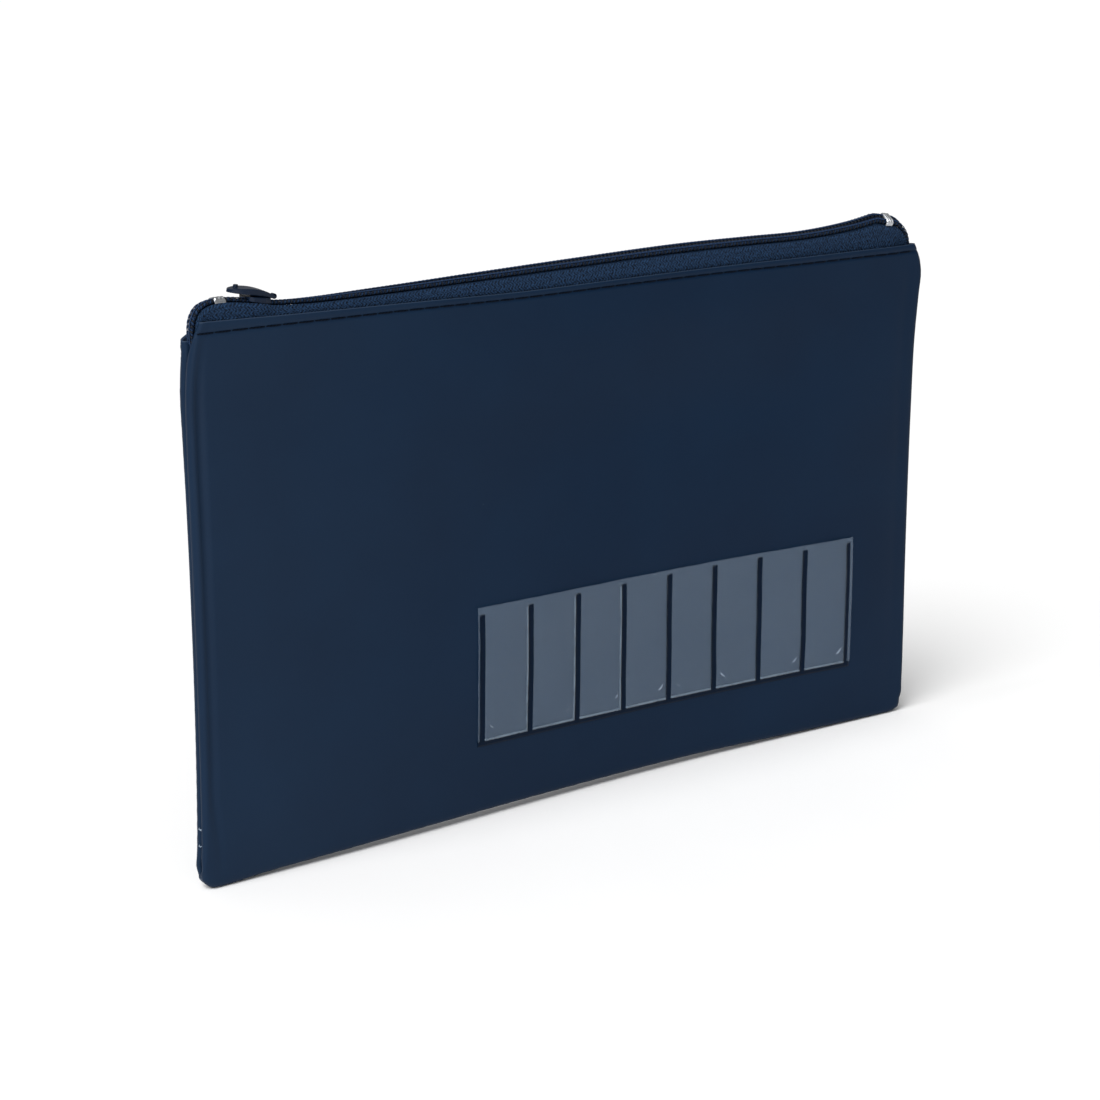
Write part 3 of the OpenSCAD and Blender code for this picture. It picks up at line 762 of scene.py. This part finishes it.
def weld_window():
    """Clear film over the front, fused along its bottom and upright lines, with pockets between them."""
    width, height = WINDOW_HIGH.x - WINDOW_LOW.x, WINDOW_HIGH.z - WINDOW_LOW.z
    # It was welded a little to the left of its place, falling and leaning to the right, and drew in.
    shift, fall, lean, drawn_in = -0.6, -0.0213, 0.012, 0.992
    middle = (WINDOW_LOW.x + WINDOW_HIGH.x) / 2 + shift, (WINDOW_LOW.z + WINDOW_HIGH.z) / 2
    weld_w, pitch, margin = WELD_W, POCKET_PITCH, 0.7
    # How far the film stands off the fabric, and over what width it rises beside a weld.
    pocket_h, weld_h, slope = 0.62, 0.1, 0.4
    across = [-margin, -margin / 2, 0]
    for i in range(POCKETS + 1):
        at = i * pitch
        across += [at + 0.02, at + weld_w / 2, at + weld_w - 0.02]
        if i < POCKETS:
            first, last = at + weld_w, at + pitch
            across += [first + slope / 2, first + slope, first + 2 * slope]
            across += np.linspace(first + 1.5, last - 1.5, 8).tolist()
            across += [last - 2 * slope, last - slope, last - slope / 2]
    across = np.array(across + [width, width + margin / 2, width + margin])
    lip = [(0, 2.4), (width * 0.35, 1.7), (width, 1.6)]
    upward = np.array([0, 0.6, 1.23, 1.45, 1.65, 2.1] + np.linspace(3, height - 4, 16).tolist()
                      + np.linspace(height - 3, height, 12).tolist())
    u, v = np.meshgrid(across, upward)
    line = np.abs((u - weld_w / 2 + pitch / 2) % pitch - pitch / 2) - weld_w / 2
    line_top = height - eased(lip, u)
    past_top = np.maximum(v - line_top, 0)
    from_weld = np.minimum(np.hypot(np.maximum(line, 0), past_top), np.maximum(v - weld_w, 0))
    outside = np.maximum(-u, u - width) > 0
    from_weld = np.where(outside, np.minimum(from_weld, 0.27), from_weld)
    risen = smooth(from_weld / slope)
    crown = 1 + 0.25 * smooth(from_weld / 5)
    lift = weld_h + (pocket_h - weld_h) * risen * crown
    x = middle[0] + drawn_in * (u - width / 2) + lean * (v - height / 2)
    z = middle[1] + (v - height / 2) + fall * (u - width / 2)
    y = bow(x, z) - half_depth(x, z, FRONT) - lift
    film = make_piece("welded_window", [grid_part(np.stack([x, y, z], -1), np.stack([u, v], -1))])
    fused = (risen < 0.6).reshape(-1)
    # A painted highlight on the thin slope of film over the bottom weld and to the left of the upright ones.
    left_of_bar = (u - weld_w / 2 + pitch / 2) % pitch < pitch / 2
    lip_highlight_side = ((left_of_bar & (line <= slope)) | (v < weld_w + 1.05 * slope)) & (from_weld <= slope)
    lip_highlight_side = (lip_highlight_side & (from_weld > 0) & ~outside).reshape(-1)
    outside = outside.reshape(-1)
    finish_with(film, clear_film(), welded_film(), painted_lip_highlight())
    for face in film.data.polygons:
        corners = list(face.vertices)
        if fused[corners].sum() >= 3:
            face.material_index = 1
        elif lip_highlight_side[corners].sum() >= 2 and not outside[corners].any():
            face.material_index = 2
    thicken(film, 0.25, -1)
    belongs(film, "pouch", "clear_sheet", "window_sheet")


def sew_hems():
    """Lockstitches along the mouth: a needle thread outside and a bobbin thread inside."""
    starts = np.arange(-HALF_W + HEM_START, HALF_W - HEM_END, STITCH)
    apart = 0.08
    # The thread lies on the face and dives at both ends of a stitch.
    share = np.array([0, 0.03, 0.08, 0.3, 0.5, 0.7, 0.92, 0.97, 1])
    dive = np.array([0.55, 0.22, 0.03, 0, 0, 0, 0.03, 0.22, 0.55])
    for panel, side_name in ((FRONT, "front"), (BACK, "back")):
        for depth, kind in ((-0.1, "needle"), (SHEET_T + TAPE_T, "bobbin")):
            parts = []
            for start in starts:
                x = start + apart + (STITCH - 2 * apart) * share
                z = top_z(x, panel) - eased(HEM_W, x)
                inward = depth + (dive if kind == "needle" else -dive * 0.5)
                y = panel * (half_depth(x, z, panel) - inward)
                parts.append(thread_part(np.stack([x, y, z], 1), THREAD_R, 8, (0, 0, 1)))
            name = f"{side_name}_hem_{kind}_thread"
            thread = make_piece("sewn_" + name, parts)
            finish_with(thread, HEM_THREAD)
            belongs(thread, "pouch", "hem_thread", name)


def sew_side_seams():
    """Lockstitches down each side seam, whose threads show in the valley where the seam gapes."""
    heights = np.arange(SEAM_LOW.z, SEAM_HIGH.z, STITCH)
    # How deep in the valley the stitch holes are: nearer the edge where the seam gapes.
    hole_depth = [
        (0, -0.1), (9, -0.02), (18, 0.1), (24, 1.35), (106, 1.4), (113, 0.95), (119, 0.95), (124, 1.5),
        (140, 1.6),
    ]
    for end, end_name in ((LEFT, "left"), (RIGHT, "right")):
        for panel, kind in ((FRONT, "needle"), (BACK, "bobbin")):
            parts = []
            for low in heights:
                z = low + np.array([0, 0.06, 0.5, STITCH / 2, STITCH - 0.5, STITCH - 0.06, STITCH])
                depth = eased(hole_depth, z) + np.array([0, 0.03, 0.7, 0.8, 0.7, 0.03, 0])
                x = edge_x(end, z, panel) - end * depth
                y = panel * np.array([-0.45, 0.45, 0.72, 0.8, 0.72, 0.45, -0.45]) + bow(x, z)
                parts.append(thread_part(np.stack([x, y, z], 1), SEAM_THREAD_R, 8, (1, 0, 0)))
            name = f"{end_name}_seam_{kind}_thread"
            thread = make_piece("sewn_" + name, parts)
            finish_with(thread, SEAM_THREAD)
            belongs(thread, "pouch", "seam_thread", name)


# ---------------------------------------------------------------- zip

def weave_tape(panel, side_name):
    """Flat under its coil, then down behind the panel's edge and sewn there."""
    along = np.linspace(0, CHAIN_L, int(CHAIN_L / 0.8))[:, None]
    flat_steps = np.array([0, 0.3, 0.6, 0.8, 1])
    fall_steps = np.array([0.06, 0.14, 0.22, 0.3, 0.38, 0.46, 0.55, 0.65, 0.75, 0.88, 1])
    # The flat part reaches from 0.4 to 2.3 mm beside the middle of the chain.
    inner = (0.4 + parting(along[:, 0])) * pinch(along[:, 0])
    outer = (2.3 + parting(along[:, 0])) * pinch(along[:, 0])
    across = inner[:, None] + (outer - inner)[:, None] * flat_steps
    flat = on_chain(np.broadcast_to(along, across.shape), panel * across, np.full(across.shape, -TAPE_T / 2))
    bend = flat[:, -1]
    # The lower edge lies inside the pouch, clear of its side seams.
    low_x = np.clip(bend[:, 0], -HALF_W + 8.5, HALF_W - 6.5)
    low_z = np.minimum(top_z(low_x, panel) - 8, bend[:, 2] - 3)
    x = bend[:, :1] + (low_x - bend[:, 0])[:, None] * fall_steps
    z = bend[:, 2:] + (low_z - bend[:, 2])[:, None] * fall_steps
    edge = top_z(x, panel)
    behind = half_depth(x, np.minimum(z, edge), panel) - SHEET_T - TAPE_T / 2 - 0.12
    behind = np.minimum(behind, half_depth(x, edge - 2, panel) - SHEET_T - TAPE_T / 2)
    rise = np.maximum(bend[:, 2:] - edge - 0.2, 0.1)
    share = smooth((z - edge - 0.2) / rise)
    y = panel * behind + (bend[:, 1:2] - panel * behind) * share
    strip = np.concatenate([flat, np.stack([x, y, z], -1)], 1)
    width = np.concatenate([[0], np.cumsum(np.linalg.norm(np.diff(strip[len(strip) // 2], axis=0), axis=1))])
    uv = np.stack(np.broadcast_arrays(along, width[None]), -1)
    tape = make_piece(f"woven_{side_name}_tape", [grid_part(strip, uv, flip=panel == BACK)])
    finish_with(tape, ZIP_TAPE)
    thicken(tape, TAPE_T, 0)
    belongs(tape, "pouch", "zip_tape", f"{side_name}_tape")


def wind_coil(panel, side_name):
    """A filament wound round a cord, whose heads hook between the other coil's."""
    start = 1.0 + (COIL_PITCH / 2 if panel == FRONT else 0)
    turns = int((CHAIN_L - 2.6) / COIL_PITCH)
    per_turn = 14
    angle = np.arange(turns * per_turn + 1) * 2 * np.pi / per_turn
    along = start + angle / (2 * np.pi) * COIL_PITCH
    squeeze = pinch(along)
    middle, reach = (CHAIN_HALF + COIL_TIP) / 2, (CHAIN_HALF - COIL_TIP) / 2 - WIRE_R
    # Each turn runs back under itself, so its head stays square to the chain.
    along = along - 0.1 * np.sin(2 * angle)
    # The turns are wound over a flat mandrel, so their section is nearly square.
    beside, over = (np.sign(wave) * np.abs(wave) ** 0.7 for wave in (np.cos(angle), np.sin(angle)))
    across = (middle - reach * beside) * squeeze + parting(along)
    above = COIL_H / 2 - (COIL_H / 2 - WIRE_R) * over
    _, ahead, _, _ = chain_frame(along)
    # The head is pressed wider than the rest of the filament.
    wire = WIRE_R * (1 + 0.16 * smooth((np.cos(angle) - 0.4) / 0.6))
    coil = make_piece(f"wound_{side_name}_coil", [
        thread_part(on_chain(along, panel * across, above), wire, 7, ahead)
    ])
    finish_with(coil, NYLON_COIL)
    belongs(coil, "pouch", "coil", f"{side_name}_coil")


def lay_core_cord(panel, side_name):
    """The cord inside a coil, which its sewing thread grips."""
    along = np.linspace(0.6, CHAIN_L - 0.6, int(CHAIN_L))
    across = (1.05 + parting(along)) * pinch(along)
    _, _, _, up = chain_frame(along)
    line = on_chain(along, panel * across, np.full(along.shape, COIL_H / 2))
    cord = make_piece(f"laid_{side_name}_core_cord", [thread_part(line, 0.46 * pinch(along) ** 0.5, 8, up)])
    finish_with(cord, CORE_CORD)
    belongs(cord, "pouch", "core_cord", f"{side_name}_core_cord")


def stitch_coil_down(panel, side_name):
    """A chain stitch over each turn of a coil: a row of linked drops seen from above."""
    turns = int((CHAIN_L - 3) / COIL_PITCH)
    # One drop, from its tail round its loop and back, as shares of a turn and mm to the side.
    drop = np.array([
        (-0.55, 0), (-0.3, 0.1), (0, 0.18), (0.3, 0.2), (0.52, 0.12), (0.58, 0),
        (0.52, -0.12), (0.3, -0.2), (0, -0.18), (-0.3, -0.1), (-0.55, 0),
    ])
    lift = np.array([-0.1, 0, 0.05, 0.06, 0.06, 0.07, 0.06, 0.06, 0.05, 0, -0.1])
    parts = []
    for i in range(turns):
        along = 1.5 + (i + drop[:, 0]) * COIL_PITCH
        across = (0.95 + drop[:, 1] + parting(along)) * pinch(along)
        _, _, _, up = chain_frame(along)
        parts.append(thread_part(on_chain(along, panel * across, COIL_H + lift), 0.11, 6, up))
    thread = make_piece(f"stitched_{side_name}_coil_thread", parts)
    finish_with(thread, COIL_THREAD)
    belongs(thread, "pouch", "coil_thread", f"{side_name}_coil_thread")


# How far left of its place in the frame each stop was crimped, and half its length.
STOP_SHIFT = {"left": 1.3, "right": 2.3}
STOP_HALF_L = {"left": 1.45, "right": 1.25}


def crimp_stop(end_name):
    """A metal strip bent round both coils and pressed: ribbed on top, with its ends rolled over the tape."""
    low, high = (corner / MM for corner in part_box(f"{end_name}_stop"))
    middle = along_at((low.x + high.x) / 2 - STOP_SHIFT[end_name])
    # Round the section: out past the coils at the top, down through the tapes and under them.
    section = np.array([
        (0, 1.6), (0.9, 1.62), (1.5, 1.55), (1.9, 1.35), (2.1, 1.0), (2.15, 0.4), (2.12, -0.3), (1.95, -0.8),
        (1.5, -1.0), (0.8, -1.0), (0, -0.95),
    ])
    section = np.concatenate([section, section[-2:0:-1] * (-1, 1)])
    share = np.linspace(-1, 1, 25)
    along = middle + STOP_HALF_L[end_name] * share
    rib = 0.13 * np.cos(2 * np.pi * share * 1.5) - 0.3 * np.abs(share) ** 8
    rings = []
    for s, r in zip(along, rib):
        across, above = section[:, 0] * (1 + 0.05 * r), section[:, 1] + r * np.clip(section[:, 1], 0, 1)
        rings.append(on_chain(np.full(len(section), s), across, above))
    rings = np.array(rings)
    count = len(section)
    rings = np.concatenate([rings, rings[:, :1]], 1)
    stop = make_piece(f"crimped_{end_name}_stop", [grid_part(rings, flip=True)])
    weld_close(stop)
    thicken(stop, 0.42, -1)
    bevel = stop.modifiers.new("edges", "BEVEL")
    bevel.width = 0.07 * MM
    bevel.segments = 2
    settle(stop)
    finish_with(stop, STOP_METAL)
    belongs(stop, "pouch", "stop_metal", f"{end_name}_stop")


# ---------------------------------------------------------------- slider

def prism(outline, low, high):
    """A closed part with an outline in XY between two heights."""
    outline = np.asarray(outline, float)
    count = len(outline)
    points = np.concatenate([np.column_stack([outline, np.full(count, h)]) for h in (low, high)])
    faces = [list(range(count))[::-1], list(range(count, 2 * count))]
    faces += [(i, (i + 1) % count, (i + 1) % count + count, i + count) for i in range(count)]
    return points, faces, None


def side_prism(profile, low, high):
    """A closed part with a profile in XZ between two places across."""
    points, faces, _ = prism(profile, low, high)
    return points[:, (0, 2, 1)], [face[::-1] for face in faces], None


def mirrored(half):
    """A closed outline from its half on one side, from its left end to its right."""
    half = np.asarray(half, float)
    return np.concatenate([half, half[::-1] * (1, -1)])


def fuse(piece, voxel, rounds):
    """Fuses the parts into one skin with cast, rounded edges."""
    remesh = piece.modifiers.new("fuse", "REMESH")
    remesh.mode = "VOXEL"
    remesh.voxel_size = voxel * MM
    remesh.use_smooth_shade = True
    softer = piece.modifiers.new("soften", "SMOOTH")
    softer.iterations = rounds
    softer.factor = 0.5
    return settle(piece)


def place_on_chain(piece, at, pitch=0, roll=0):
    """Turns a piece made at the origin and sets it in its place on the chain."""
    turn = Matrix.Rotation(math.radians(roll), 4, "X") @ Matrix.Rotation(math.radians(pitch), 4, "Y")
    piece.data.transform(Matrix.Translation(Vector(at) * MM) @ turn)


SLIDER_SHIFT = -1.6     # the body is pushed up against the seam end
SLIDER_SLOPE = 0.18     # its top plate follows the chain, which falls to the right
PULL_RISE = 0.35        # the bar and its lug stand this far over the joint's axis
PULL_TILT = 14          # degrees that the pull lies up from the chain
PULL_ROLL = 2


def sloped(part):
    """Shears a part so that it falls to the right as the chain does."""
    points, faces, corners = part
    return points - points[:, :1] * (0, 0, SLIDER_SLOPE), faces, corners


def cast_slider():
    """Two plates joined by a wedge, with flanges that hold the coils and a lug for the pull's bar."""
    half_l = 3.6
    wide, narrow = 3.3, 2.4
    plate = [(-half_l, 1.8), (-half_l + 0.5, 2.7), (-half_l + 1.4, wide), (-0.6, wide), (1.0, 3.1),
             (2.3, narrow), (half_l - 0.6, 1.8), (half_l, 0.9)]
    base = [(-half_l, 1.9), (-half_l + 0.6, 2.6), (-half_l + 1.4, 2.9), (-0.2, 2.9), (2.4, narrow - 0.3),
            (half_l - 0.6, narrow - 0.4), (half_l, narrow - 1.1)]
    top_low, top_high = 3.15, 3.75
    parts = [sloped(prism(mirrored(plate), top_low, top_high)), prism(mirrored(base), -1.45, -0.85)]
    # The flanges reach further down where the coils are meshed.
    wide_end = np.array([(-3.2, 2.6), (-2.3, wide), (-0.5, wide)])
    meshed_end = np.array([(-0.7, wide), (1.0, 3.1), (2.3, narrow + 0.1), (half_l - 0.8, narrow - 0.1)])
    for side in (1, -1):
        for outer, flange_low in ((wide_end, 2.6), (meshed_end, 2.35)):
            flange = np.concatenate([outer, outer[::-1] - (0, 0.6)]) * (1, side)
            parts.append(sloped(prism(flange[::side], flange_low, top_low + 0.2)))
    parts.append(prism(mirrored([(-3.2, 0.12), (-1.7, 0.62), (0, 0.1)]), -1.2, top_high - 0.1))
    crown = [(-1.6, top_high - 0.2), (-0.8, top_high + 0.5), (2.2, top_high + 0.6), (3.3, top_high + 0.3),
             (3.3, top_high - 0.2)]
    parts.append(sloped(side_prism(crown, -0.75, 0.75)))
    # A lug, open to the left, round the pull's cross bar.
    body_x = SLIDER_X + SLIDER_SHIFT
    bar_x, bar_z = HINGE_X - body_x, HINGE_Z + PULL_RISE - CHAIN_Z
    angle = np.radians(np.arange(20, 341, 20))
    outer = np.stack([-np.cos(angle), np.sin(angle)], 1) * 0.68
    lug = np.concatenate([outer, outer[::-1] * 0.62]) + (bar_x, bar_z)
    parts.append(side_prism(lug, -0.75, 0.75))
    body = make_piece("cast_slider_body", parts)
    fuse(body, 0.1, 3)
    finish_with(body, SLIDER_PAINT)
    place_on_chain(body, (body_x, 0, CHAIN_Z))
    belongs(body, "slider", "slider_paint", "slider_body")


def cast_pull():
    """A leaf-shaped tab with a raised rim and a small boss near its tip, hung on its cross bar."""
    length = 12.9
    half = [(-length, 0.35), (-length + 0.5, 1.1), (-length + 1.5, 1.85), (-length + 3.2, 2.45), (-6.5, 2.5),
            (-4, 2.2), (-1.5, 1.6), (0, 1.2), (0.4, 0.8)]
    half = line_through(half, per_mm=2)
    leaf = prism(mirrored(half), -0.45, 0.1)
    window = mirrored([(-6.9, 0.95), (0.9, 0.95)])
    tab = make_piece("cast_slider_pull", [leaf])
    rim = make_piece("rim", [prism(mirrored(half), 0, 0.42)])
    well = make_piece("well", [prism(mirrored(half) * (0.9, 0.8) - (0.35, 0), 0.12, 1)])
    hole = make_piece("hole", [prism(window, -1, 1)])
    circle = [(math.cos(a), math.sin(a)) for a in np.arange(16) * math.pi / 8]
    boss_x, boss_y, boss_r, bar_r = -length + 2.4, 0.6, 0.62, 0.42
    boss_points = [(boss_x + boss_r * c, boss_y + boss_r * s) for c, s in circle]
    boss = make_piece("boss", [prism(boss_points, -0.2, 1.1)])
    bar = make_piece("bar", [side_prism([(bar_r * c, bar_r * s) for c, s in circle], -1.2, 1.2)])
    steps = (("DIFFERENCE", well, rim), ("UNION", rim, tab), ("DIFFERENCE", hole, tab), ("UNION", boss, tab),
             ("UNION", bar, tab))
    for operation, tool, target in steps:
        cut = target.modifiers.new(tool.name, "BOOLEAN")
        cut.operation = operation
        cut.object = tool
        cut.solver = "EXACT"
        settle(target)
    for tool in (rim, well, hole, boss, bar):
        bpy.data.objects.remove(tool)
    fuse(tab, 0.1, 3)
    # It is thinner on top towards its bar, fuller underneath in its middle, and bowed up along its length.
    for vertex in tab.data.vertices:
        share = min(max(-vertex.co.x / MM, 0), length) / length
        belly = 0.65 * math.sin(math.pi * share) * min(max(-vertex.co.z / MM / 0.45, 0), 1)
        if vertex.co.z > 0:
            vertex.co.z *= min(0.4 + 2.5 * share, 1)
        vertex.co.z += (0.8 * math.sin(1.075 * math.pi * share) - belly) * MM
    finish_with(tab, SLIDER_PAINT)
    place_on_chain(tab, (HINGE_X, 0, HINGE_Z + PULL_RISE), PULL_TILT, PULL_ROLL)
    belongs(tab, "pull", "slider_paint", "slider_pull")


ZIP_TAPE = zip_tape()
NYLON_COIL = nylon_coil()
CORE_CORD = sewing_thread("core_cord", "#0b1628", "#223857", 0.1)
COIL_THREAD = sewing_thread("coil_thread", "#0f1d35", "#304a70", 0.15)
HEM_THREAD = sewing_thread("hem_thread", "#03060c", "#0a1220", 0.05)
SEAM_THREAD = sewing_thread("seam_thread", "#76879a", "#a7b5c3", 0.2)
STOP_METAL = stop_metal()
SLIDER_PAINT = slider_paint()

sew_body_sheet()
weld_window()
sew_hems()
sew_side_seams()
for panel, side_name in ((FRONT, "front"), (BACK, "back")):
    weave_tape(panel, side_name)
    wind_coil(panel, side_name)
    lay_core_cord(panel, side_name)
    stitch_coil_down(panel, side_name)
for end_name in ("left", "right"):
    crimp_stop(end_name)
cast_slider()
cast_pull()


# ---------------------------------------------------------------- floor and light

def lay_floor():
    """A flat pale paper floor under the pouch."""
    reach = 3000
    corners = [(-reach, -reach, 0), (reach, -reach, 0), (reach, reach, 0), (-reach, reach, 0)]
    floor = make_piece("floor", [(corners, [(0, 1, 2, 3)], None)])
    material, tree, output = new_finish("paper")
    place = add(tree, "TexCoord").outputs["Object"]
    fibre = add(tree, "TexNoise", {"Scale": per(60), "Detail": 2}, {"Vector": place})
    tint = add(tree, "ValToRGB", links={"Fac": fibre.outputs["Fac"]})
    tint.color_ramp.elements[0].color = colour("#fbfbfb")
    tint.color_ramp.elements[1].color = colour("#ffffff")
    skin = add(tree, "BsdfPrincipled", {"Roughness": 0.9, "Specular IOR Level": 0.1},
               {"Base Color": tint.outputs["Color"]})
    tree.links.new(skin.outputs["BSDF"], output.inputs["Surface"])
    finish_with(floor, material)


def hang_light(name, place, aim, size, power):
    """A soft box."""
    lamp = bpy.data.lights.new(name, "AREA")
    lamp.shape = "RECTANGLE"
    lamp.size, lamp.size_y = size[0] * MM, size[1] * MM
    lamp.energy = power
    light = bpy.data.objects.new(name, lamp)
    bpy.context.scene.collection.objects.link(light)
    light.location = Vector(place) * MM
    light.rotation_mode = "QUATERNION"
    light.rotation_quaternion = (Vector(aim) - Vector(place)).to_track_quat("-Z", "Y")


def hang_sun(name, aim, spread, strength):
    """Even light from one side of the sky, as broad as a diffuser."""
    lamp = bpy.data.lights.new(name, "SUN")
    lamp.angle = math.radians(spread)
    lamp.energy = strength
    light = bpy.data.objects.new(name, lamp)
    bpy.context.scene.collection.objects.link(light)
    light.rotation_mode = "QUATERNION"
    light.rotation_quaternion = Vector(aim).to_track_quat("-Z", "Y")


def light_studio():
    """A broad light overhead from the left, a soft box low at the front left, and a dim room."""
    middle = (0, 0, PANEL_H / 2)
    hang_sun("overhead", (0.56, 0.22, -0.80), 40, 2.85)
    hang_light("front", (-450, -620, 60), middle, (500, 300), 1.45)
    world = bpy.data.worlds.new("studio")
    world.use_nodes = True
    tree = world.node_tree
    tree.nodes.clear()
    output = tree.nodes.new("ShaderNodeOutputWorld")
    # The backdrop behind the pouch is white paper, and the rest of the room is dimmer.
    paper = add(tree, "Background", {"Color": (1, 1, 1, 1), "Strength": 1.0})
    room = add(tree, "Background", {"Color": (1, 1, 1, 1), "Strength": 0.35})
    seen = add(tree, "LightPath").outputs["Is Camera Ray"]
    sky = add(tree, "MixShader",
              links={0: seen, 1: room.outputs["Background"], 2: paper.outputs["Background"]})
    tree.links.new(sky.outputs["Shader"], output.inputs["Surface"])
    bpy.context.scene.world = world
    bpy.context.scene.view_settings.view_transform = "Standard"


lay_floor()
light_studio()
